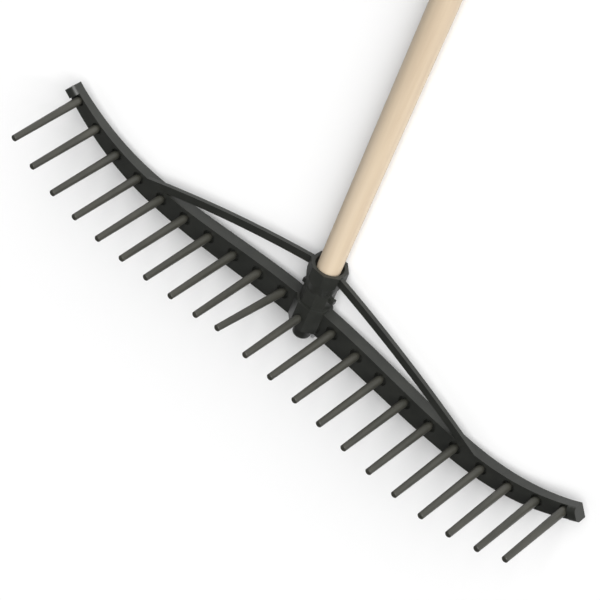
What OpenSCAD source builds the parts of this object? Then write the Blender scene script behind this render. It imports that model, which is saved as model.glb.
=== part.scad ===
// Plastic rake with separate peg teeth, a braced socket and a wooden handle.
// It lies on its back with the teeth up: X runs along the bar, Y towards the
// free end of the handle, and Z is up. The origin is under the middle, on the floor.

/* [Bar] */
// Distance from one tooth to the next along the bar
pitch = 34; // [30:0.5:40]
// Teeth on each side of the middle one
side_teeth = 10; // [10:1:10]
// Depth of the bar in the middle
bar_depth = 13.5; // [12:0.5:18]
// Depth of the bar at its ends
end_depth = 9.2; // [8:0.2:12]
// Bar edge on the user's side of the teeth, in the middle
near_edge = 12.9; // [12:0.1:16]
// Bar edge beyond the teeth, in the middle
far_edge = 20.4; // [16:0.1:24]
// Steepest slope of the shallow wave on each side
hump = 5.8; // [0:0.1:8]
// Turn of the bar's ends towards the user
curl = 27; // [0:1:30]

/* [Teeth] */
// Length of a tooth above the bar
tooth_len = 94; // [60:1:120]
// Diameter of a tooth at its root
tooth_root_d = 9.1; // [8:0.1:10]
// Diameter of a tooth at its tip
tooth_tip_d = 7.1; // [5:0.1:8]
// Diameter of the peg that holds a tooth
peg_d = 6; // [5:0.1:6.5]
// Sideways lean of the tenth tooth
bent_lean = 3.5; // [0:0.1:4]
// Lean of the tenth tooth towards the user
bent_pull = 2.5; // [0:0.1:4]

/* [Socket] */
// Width of the eight-sided tube across its flats
tube_w = 31; // [28:0.5:32]
// Width of the collar across its flats
collar_w = 38; // [36:0.5:42]
// Height of the collar's rim above the middle of the bar
collar_top = 62; // [56:1:80]
// Width of the hub block across its flats
hub_w = 37; // [36.8:0.1:42]
// Angle that the teeth lean away from the handle's square
lean = 7; // [0:0.5:15]

/* [Handle] */
// Diameter of the handle along its length
handle_d = 28; // [26:0.5:30]
// Diameter of the handle where it enters the collar
handle_neck_d = 25; // [24:0.5:25.5]
// Distance from the bar to the free end of the handle
handle_reach = 1465; // [900:5:1700]

/* [Hidden] */

$fn = 48;
plastic = [0.13, 0.13, 0.12];
tooth_plastic = [0.17, 0.17, 0.15];
beech = [0.86, 0.78, 0.66];
steel = [0.55, 0.55, 0.56];

// The bar's line is walked in steps of a fifth of the pitch
steps = 5;
dip = 6;
curl_power = 1.4;
near_thin = 5.7;
far_thin = 10.4;
face_to_axis = 6.1;
floor_gap = collar_w / 2;

wall = 2.8;
face_thick = 3;
rib = 2.6;
recess_depth = 3.5;
recess_gap = 3.2;
recess_gap_loss = 1.4;
boss_wall = 1.8;
bore_d = peg_d + 0.1;
end_wall = 10;
end_rise = 4.5;
end_round = 5;
end_at = 10.2;

hub_top = 13.5;
hub_bottom = -16;
passage_play = 0.15;
tube_bottom = -18;
boss_end = -35;
boss_d = 19.4;
boss_round = 4;
taper_bottom = 32;
// Growth of the collar's radius for each millimetre of its height
collar_flare = 0.3;
mouth_d = 31;
mouth_depth = 7;
seat_play = 0.1;
seat_end = -30;
seat_end_d = 15.6;
lug = 5;
lug_rise = 5;
lug_at = 24;

brace_w = 9.6;
brace_t = 4.4;
brace_bow = 5;
brace_in = [18, 56];
brace_out = [232, -9];
brace_drop = 8;
brace_level_at = 215;

screw_d = 4.2;
screw_core_d = 3;
screw_head_d = 7.5;
screw_len = 16;
screw_at = [0, -22.5, 2];

handle_grow_end = 380;
handle_round = 5;
// Puts the middle of the whole length at y = 0
middle_y = -(handle_reach + boss_end) / 2;

function tooth_name(i) = str("tooth_", i < 10 ? "0" : "", i);

// Slope of the bar at s tooth pitches from its middle
function slope(s) =
    hump * sin(180 * s / dip) - (s > dip ? curl * pow((s - dip) / (side_teeth - dip), curl_power) : 0);

// Points of the tooth line from the middle out to one end
function walk(k, last, p) =
    k > last ? [] :
    let (a = slope((k + 0.5) / steps), d = pitch / steps)
    concat([p], walk(k + 1, last, p + d * [cos(a), -sin(a)]));

last_step = round(end_at * steps);
line = walk(0, last_step, [0, 0]);

function side(k) = k < 0 ? -1 : 1;
function on_line(k) = [side(k) * line[abs(k)][0], line[abs(k)][1]];
function angle_at(k) = side(k) * slope(abs(k) / steps);
function out_at(k) = [sin(angle_at(k)), cos(angle_at(k))];
function share(k) = abs(k) / steps / side_teeth;
function near_at(k) = near_edge - near_thin * pow(share(k), 2);
function far_at(k) = far_edge - far_thin * pow(share(k), 2);
function depth_at(k) = bar_depth - (bar_depth - end_depth) * pow(share(k), 2);
function recess_r(k) = tooth_root_d / 2 + recess_gap - recess_gap_loss * pow(share(k), 2);

// Closed outline of the bar between two steps, drawn in from its edges
function band(from, to, inset) = concat(
    [for (k = [from:to]) on_line(k) + (near_at(k) - inset) * out_at(k)],
    [for (k = [to:-1:from]) on_line(k) - (far_at(k) - inset) * out_at(k)]
);

// Places the head's frame, whose face lies at z = 0, on the handle's axis
module in_head() {
    translate([0, middle_y, floor_gap])
        rotate([lean, 0, 0])
            translate([0, 0, face_to_axis])
                children();
}

// Turns a shape drawn up Z to run along the handle
module along_handle(from) {
    translate([0, middle_y + from, floor_gap])
        rotate([-90, 0, 0])
            children();
}

module octagon(width, height) {
    rotate([0, 0, 22.5])
        cylinder(h = height, r = width / 2 / cos(22.5), $fn = 8);
}

// Space under the bar's curved back
module below_back() {
    deep = 3 * bar_depth;
    reach = line[last_step][0] + 3 * end_wall;
    back = [for (k = [-last_step:last_step]) [on_line(k)[0], -depth_at(k)]];
    translate([0, deep, 0])
        rotate([90, 0, 0])
            linear_extrude(height = 2 * deep)
                polygon(concat([[-reach, -deep], [-reach, -end_depth]], back, [[reach, -end_depth], [reach, -deep]]));
}

// Open pocket in the back between two neighbouring teeth
module pocket(first) {
    from = first * steps;
    to = from + steps;
    gap = rib / 2;
    difference() {
        translate([0, 0, -2 * bar_depth])
            linear_extrude(height = 2 * bar_depth - face_thick)
                intersection() {
                    polygon(band(from, to, wall));
                    polygon([
                        on_line(from) + [gap, 2 * far_edge],
                        on_line(to) + [-gap, 2 * far_edge],
                        on_line(to) + [-gap, -2 * far_edge],
                        on_line(from) + [gap, -2 * far_edge]
                    ]);
                }
        for (k = [from, to])
            translate([on_line(k)[0], on_line(k)[1], -3 * bar_depth])
                cylinder(h = 4 * bar_depth, r = recess_r(k) + boss_wall);
    }
}

// Wall that closes one end of the bar and stands up past its face
module bar_end(where) {
    width = near_at(where) + far_at(where);
    height = end_depth + end_rise;
    translate([on_line(where)[0], on_line(where)[1], -end_depth])
        rotate([0, 0, -angle_at(where)])
            translate([side(where) > 0 ? -0.5 : -end_wall + 0.5, -far_at(where), 0])
                rotate([90, 0, 90])
                    linear_extrude(height = end_wall) {
                        square([width, height - end_round]);
                        translate([end_round, 0])
                            square([width - 2 * end_round, height]);
                        for (y = [end_round, width - end_round])
                            translate([y, height - end_round])
                                circle(r = end_round);
                    }
}

module head_bar() {
    color(plastic)
        difference() {
            union() {
                in_head() {
                    difference() {
                        translate([0, 0, -bar_depth])
                            linear_extrude(height = bar_depth)
                                polygon(band(-last_step, last_step, 0));
                        below_back();
                        for (first = [-side_teeth:side_teeth - 1])
                            if (first < -1 || first > 0)
                                pocket(first);
                    }
                    for (where = [-last_step, last_step])
                        bar_end(where);
                }
                along_handle(hub_bottom)
                    octagon(hub_w, hub_top - hub_bottom);
            }
            along_handle(hub_bottom - 20)
                octagon(tube_w + 2 * passage_play, hub_top - hub_bottom + 40);
            in_head()
                for (i = [-side_teeth:side_teeth])
                    if (i != 0)
                        translate([on_line(i * steps)[0], on_line(i * steps)[1], 0]) {
                            translate([0, 0, -recess_depth])
                                cylinder(h = 2 * recess_depth, r = recess_r(i * steps));
                            translate([0, 0, -2 * bar_depth])
                                cylinder(h = 2 * bar_depth, d = bore_d);
                        }
        }
}

module socket() {
    color(plastic)
        difference() {
            union() {
                along_handle(tube_bottom)
                    octagon(tube_w, collar_top - tube_bottom - 1);
                intersection() {
                    along_handle(taper_bottom)
                        octagon(collar_w, collar_top - taper_bottom);
                    along_handle(taper_bottom)
                        cylinder(
                            h = collar_top - taper_bottom,
                            r1 = tube_w / 2,
                            r2 = tube_w / 2 + collar_flare * (collar_top - taper_bottom)
                        );
                }
                along_handle(boss_end)
                    rotate_extrude()
                        polygon(concat(
                            [[0, 0]],
                            [for (a = [0:15:90])
                                [boss_d / 2 - boss_round * (1 - sin(a)), boss_round * (1 - cos(a))]],
                            [[boss_d / 2, tube_bottom - boss_end + 1], [0, tube_bottom - boss_end + 1]]
                        ));
                for (s = [-1, 1])
                    along_handle(lug_at)
                        rotate([0, 0, 90 - s * 90])
                            translate([tube_w / 2 - 1, -lug / 2, 0])
                                cube([lug_rise + 1, lug, lug]);
            }
            along_handle(seat_end)
                cylinder(
                    h = collar_top - seat_end + 0.01,
                    d1 = seat_end_d + 2 * seat_play,
                    d2 = handle_neck_d + 2 * seat_play
                );
            along_handle(collar_top - mouth_depth)
                cylinder(h = mouth_depth + 0.01, d1 = handle_neck_d, d2 = mouth_d);
            handle_screw_hole();
        }
}

// Flat bar, bowed outwards, from the side of the collar down to the bar
module brace_blank() {
    run = brace_out - brace_in;
    half = brace_w / 2 / cos(atan(run[1] / run[0]));
    rise = atan(brace_drop / (brace_level_at - brace_in[0]));
    translate([brace_in[0], 0, -brace_drop])
        rotate([0, -rise, 0])
            translate([-brace_in[0], 0, -brace_t])
                linear_extrude(height = brace_t)
                    polygon(concat(
                        [for (v = [0:0.05:1]) brace_in + v * run + [0, half + 4 * brace_bow * v * (1 - v)]],
                        [for (v = [1:-0.05:0]) brace_in + v * run + [0, -half + 4 * brace_bow * v * (1 - v)]]
                    ));
}

module brace(s) {
    color(plastic)
        difference() {
            in_head()
                mirror([s < 0 ? 1 : 0, 0, 0])
                    brace_blank();
            in_head()
                translate([0, 0, -2 * bar_depth])
                    linear_extrude(height = 4 * bar_depth)
                        polygon(band(-last_step, last_step, -0.02));
            along_handle(taper_bottom)
                octagon(collar_w + 0.04, collar_top);
        }
}

module brace_left() {
    brace(-1);
}

module brace_right() {
    brace(1);
}

module handle() {
    neck = collar_top - 2;
    color(beech)
        along_handle(seat_end + 1)
            rotate_extrude($fn = 96)
                polygon(concat(
                    [[0, 0],
                    [seat_end_d / 2, 0],
                    [handle_neck_d / 2, neck - seat_end - 1],
                    [handle_d / 2, handle_grow_end - seat_end - 1]],
                    [for (a = [0:15:90])
                        [handle_d / 2 - handle_round * (1 - cos(a)),
                        handle_reach - handle_round * (1 - sin(a)) - seat_end - 1]],
                    [[0, handle_reach - seat_end - 1]]
                ));
}

// The screw runs sideways through the closed end of the socket
module at_screw() {
    translate([screw_at[0], middle_y + screw_at[1], floor_gap + screw_at[2]])
        rotate([0, 90, 0])
            children();
}

module handle_screw_hole() {
    at_screw()
        translate([0, 0, seat_end_d / 2 - 1])
            cylinder(h = boss_d, d = screw_d + 0.1);
}

module handle_screw() {
    start = seat_end_d / 2 + 1;
    color(steel)
        at_screw()
            translate([0, 0, start]) {
                cylinder(h = screw_len - start, d = screw_core_d);
                for (z = [0:1.5:screw_len - start - 3])
                    translate([0, 0, z])
                        cylinder(h = 0.8, d = screw_d);
                translate([0, 0, screw_len - start - 2])
                    cylinder(h = 2, d = screw_head_d);
            }
}

// One tooth: a peg in the bar, a ball-like shoulder and a slim tapered shank
module tooth(i) {
    at = i - side_teeth - 1;
    middle = at == 0;
    base = middle ? hub_w / 2 / cos(lean) - face_to_axis + 0.1 : 0;
    peg = middle ? 2.4 : depth_at(at * steps) - 0.6;
    bent = i == side_teeth;
    shoulder_low = middle ? 0 : 1;
    shoulder = 4;
    grow = (tooth_root_d - peg_d) / 2;
    edge = 0.6;
    top = tooth_len - base;
    color(tooth_plastic)
        in_head()
            translate([on_line(at * steps)[0], on_line(at * steps)[1], base]) {
                translate([0, 0, -peg])
                    cylinder(h = peg, d = peg_d);
                rotate([bent ? -bent_pull : 0, bent ? -bent_lean : 0, 0])
                    rotate_extrude()
                        polygon(concat(
                            [[0, -shoulder_low]],
                            [for (a = [0:15:90])
                                [peg_d / 2 + grow * sin(a), -shoulder_low + shoulder * (1 - cos(a))]],
                            [[tooth_tip_d / 2, top - edge], [tooth_tip_d / 2 - edge, top], [0, top]]
                        ));
            }
}

head_bar();
socket();
brace_left();
brace_right();
handle();
handle_screw();
for (i = [1:2 * side_teeth + 1])
    tooth(i);
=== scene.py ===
import math

import bpy
from mathutils import Matrix, Vector


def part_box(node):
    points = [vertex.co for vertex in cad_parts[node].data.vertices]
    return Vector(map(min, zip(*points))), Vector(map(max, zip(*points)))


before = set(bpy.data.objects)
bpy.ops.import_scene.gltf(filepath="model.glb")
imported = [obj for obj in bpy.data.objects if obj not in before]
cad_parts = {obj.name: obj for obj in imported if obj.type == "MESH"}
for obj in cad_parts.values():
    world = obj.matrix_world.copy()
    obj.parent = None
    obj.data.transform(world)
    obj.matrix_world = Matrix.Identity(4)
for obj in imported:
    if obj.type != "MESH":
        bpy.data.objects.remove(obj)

# Where the head lies on the handle, in metres and degrees
HANDLE_REACH = 1.465
FACE_TO_AXIS = 0.0061
LEAN = math.radians(7.0)

# The camera as worked out from the photograph: its place in the head's frame, what it
# aims at on the level of the handle's axis, which way is up in the picture, and its lens
CAMERA_IN_HEAD = Vector((0.89676, 2.03512, 1.69884))
AIM_X = -0.01527
AIM_PAST_HEAD = -0.00011
PICTURE_UP = Vector((-0.61047, 0.70131, -0.3681))
LENS = 168.0
SENSOR = 36.0

# Floor and light
FLOOR_SIZE = 12.0
FLOOR_GREY = 0.86
FLOOR_ROUGHNESS = 0.9
SKY_LIGHT = 0.12
KEY_TOWARDS = (0.5, 0.8, 0.62)
KEY_ANGLE = math.radians(60)
KEY_STRENGTH = 5.6
FILL_TOWARDS = (-0.5, 0.4, 0.9)
FILL_ANGLE = math.radians(120)
FILL_STRENGTH = 0.4

# Colours: each is the darkest, any middle one and the lightest of its material
HEAD_COLOURS = [(0.3, (0.011, 0.012, 0.010)), (0.7, (0.018, 0.019, 0.016))]
TOOTH_COLOURS = [(0.3, (0.024, 0.024, 0.019)), (0.7, (0.036, 0.035, 0.028))]
WOOD_COLOURS = [(0.25, (0.44, 0.34, 0.24)), (0.5, (0.54, 0.44, 0.32)), (0.75, (0.60, 0.50, 0.38))]
STEEL_COLOURS = [(0.3, (0.36, 0.36, 0.36)), (0.7, (0.5, 0.5, 0.51))]
SMOOTHEST_PLASTIC = 0.34
ROUGHEST_PLASTIC = 0.5
WOOD_ROUGHNESS = 0.55
STEEL_METALLIC = 0.9
STEEL_ROUGHNESS = 0.42

# Scales of the patterns, and how far the wood's are drawn out along the handle
MOTTLE_SCALE = 38.0
SCUFF_SCALE = 120.0
MOULD_GRAIN_SCALE = 900.0
WOOD_GRAIN_SCALE = 60.0
WOOD_FIBRE_SCALE = 420.0
STEEL_SPOT_SCALE = 260.0
GRAIN_STRETCH = (1.0, 0.04, 1.0)
FIBRE_STRETCH = (1.0, 0.03, 1.0)


def new_material(name):
    """A material with a single Principled shader."""
    mat = bpy.data.materials.new(name)
    mat.use_nodes = True
    nodes = mat.node_tree.nodes
    return mat, nodes, mat.node_tree.links, nodes["Principled BSDF"]


def noise(nodes, links, scale, detail=4.0, stretch=(1.0, 1.0, 1.0)):
    """A noise texture in the object's own coordinates."""
    coord = nodes.new("ShaderNodeTexCoord")
    mapping = nodes.new("ShaderNodeMapping")
    mapping.inputs["Scale"].default_value = stretch
    tex = nodes.new("ShaderNodeTexNoise")
    tex.inputs["Scale"].default_value = scale
    tex.inputs["Detail"].default_value = detail
    links.new(coord.outputs["Object"], mapping.inputs["Vector"])
    links.new(mapping.outputs["Vector"], tex.inputs["Vector"])
    return tex.outputs["Fac"]


def colour(nodes, links, source, stops, shader):
    """A base colour that follows a texture between the given stops."""
    node = nodes.new("ShaderNodeValToRGB")
    elements = node.color_ramp.elements
    while len(elements) < len(stops):
        elements.new(0.5)
    for element, (place, tint) in zip(elements, stops):
        element.position = place
        element.color = (*tint, 1.0)
    links.new(source, node.inputs["Fac"])
    links.new(node.outputs["Color"], shader.inputs["Base Color"])


def bump(nodes, links, source, strength, distance, shader):
    """A fine relief from a texture."""
    node = nodes.new("ShaderNodeBump")
    node.inputs["Strength"].default_value = strength
    node.inputs["Distance"].default_value = distance
    links.new(source, node.inputs["Height"])
    links.new(node.outputs["Normal"], shader.inputs["Normal"])


def moulded(name, stops):
    """Moulded plastic with a faint mottle, scuffs and a fine grain."""
    mat, nodes, links, shader = new_material(name)
    mottle = noise(nodes, links, MOTTLE_SCALE, 6.0)
    colour(nodes, links, mottle, stops, shader)
    scuff = noise(nodes, links, SCUFF_SCALE, 5.0)
    rough = nodes.new("ShaderNodeMapRange")
    rough.inputs["To Min"].default_value = SMOOTHEST_PLASTIC
    rough.inputs["To Max"].default_value = ROUGHEST_PLASTIC
    links.new(scuff, rough.inputs["Value"])
    links.new(rough.outputs["Result"], shader.inputs["Roughness"])
    grain = noise(nodes, links, MOULD_GRAIN_SCALE, 2.0)
    bump(nodes, links, grain, 0.25, 0.0002, shader)
    return mat


def bare_wood(name):
    """Pale sanded wood with its grain along the handle."""
    mat, nodes, links, shader = new_material(name)
    grain = noise(nodes, links, WOOD_GRAIN_SCALE, 8.0, GRAIN_STRETCH)
    colour(nodes, links, grain, WOOD_COLOURS, shader)
    shader.inputs["Roughness"].default_value = WOOD_ROUGHNESS
    fibre = noise(nodes, links, WOOD_FIBRE_SCALE, 4.0, FIBRE_STRETCH)
    bump(nodes, links, fibre, 0.2, 0.0002, shader)
    return mat


def plated_steel(name):
    """Dull zinc-plated steel."""
    mat, nodes, links, shader = new_material(name)
    spots = noise(nodes, links, STEEL_SPOT_SCALE)
    colour(nodes, links, spots, STEEL_COLOURS, shader)
    shader.inputs["Metallic"].default_value = STEEL_METALLIC
    shader.inputs["Roughness"].default_value = STEEL_ROUGHNESS
    bump(nodes, links, spots, 0.1, 0.0001, shader)
    return mat


def set_material(obj, mat):
    """Leaves this one material on the object."""
    obj.data.materials.clear()
    obj.data.materials.append(mat)


def dress():
    """Gives each piece its material."""
    head = moulded("head_plastic", HEAD_COLOURS)
    tooth = moulded("tooth_plastic", TOOTH_COLOURS)
    special = {"handle": bare_wood("pale_wood"), "handle_screw": plated_steel("screw_steel")}
    for name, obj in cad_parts.items():
        set_material(obj, special.get(name, tooth if name.startswith("tooth_") else head))


def white_floor():
    """A plain white floor under the rake, which keeps its shadow."""
    bpy.ops.mesh.primitive_plane_add(size=FLOOR_SIZE, location=(0.0, 0.0, 0.0))
    floor = bpy.context.object
    floor.name = "floor"
    mat, nodes, links, shader = new_material("floor_white")
    shader.inputs["Base Color"].default_value = (FLOOR_GREY, FLOOR_GREY, FLOOR_GREY, 1.0)
    shader.inputs["Roughness"].default_value = FLOOR_ROUGHNESS
    shader.inputs["Specular IOR Level"].default_value = 0.0
    set_material(floor, mat)


def sky():
    """A sky that is white to the camera and dim as a light."""
    world = bpy.data.worlds.new("studio")
    bpy.context.scene.world = world
    world.use_nodes = True
    nodes = world.node_tree.nodes
    links = world.node_tree.links
    dim = nodes["Background"]
    white = nodes.new("ShaderNodeBackground")
    for shader, strength in ((dim, SKY_LIGHT), (white, 1.0)):
        shader.inputs["Color"].default_value = (1.0, 1.0, 1.0, 1.0)
        shader.inputs["Strength"].default_value = strength
    path = nodes.new("ShaderNodeLightPath")
    mix = nodes.new("ShaderNodeMixShader")
    links.new(path.outputs["Is Camera Ray"], mix.inputs[0])
    links.new(dim.outputs["Background"], mix.inputs[1])
    links.new(white.outputs["Background"], mix.inputs[2])
    links.new(mix.outputs["Shader"], nodes["World Output"].inputs["Surface"])


def soft_sun(name, towards, angle, strength):
    """A wide, even light from one direction."""
    data = bpy.data.lights.new(name, "SUN")
    data.angle = angle
    data.energy = strength
    lamp = bpy.data.objects.new(name, data)
    bpy.context.collection.objects.link(lamp)
    lamp.rotation_euler = Vector(towards).to_track_quat("Z", "Y").to_euler()


def camera():
    """The camera of the photograph: its place, its aim and its roll."""
    low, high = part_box("handle")
    axis_height = (low.z + high.z) / 2
    head = Vector((0.0, high.y - HANDLE_REACH, axis_height))
    above_axis = CAMERA_IN_HEAD + Vector((0.0, 0.0, FACE_TO_AXIS))
    place = Matrix.Rotation(LEAN, 4, "X") @ above_axis + head
    aim = head + Vector((AIM_X, AIM_PAST_HEAD, 0.0))
    forward = (aim - place).normalized()
    right = forward.cross(PICTURE_UP).normalized()
    up = right.cross(forward)
    data = bpy.data.cameras.new("camera")
    data.lens = LENS
    data.sensor_width = SENSOR
    cam = bpy.data.objects.new("camera", data)
    bpy.context.collection.objects.link(cam)
    turn = Matrix((right, up, -forward)).transposed().to_4x4()
    cam.matrix_world = Matrix.Translation(place) @ turn
    bpy.context.scene.camera = cam


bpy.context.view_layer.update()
dress()
white_floor()
sky()
soft_sun("key", KEY_TOWARDS, KEY_ANGLE, KEY_STRENGTH)
soft_sun("fill", FILL_TOWARDS, FILL_ANGLE, FILL_STRENGTH)
camera()
bpy.context.scene.view_settings.view_transform = "Standard"
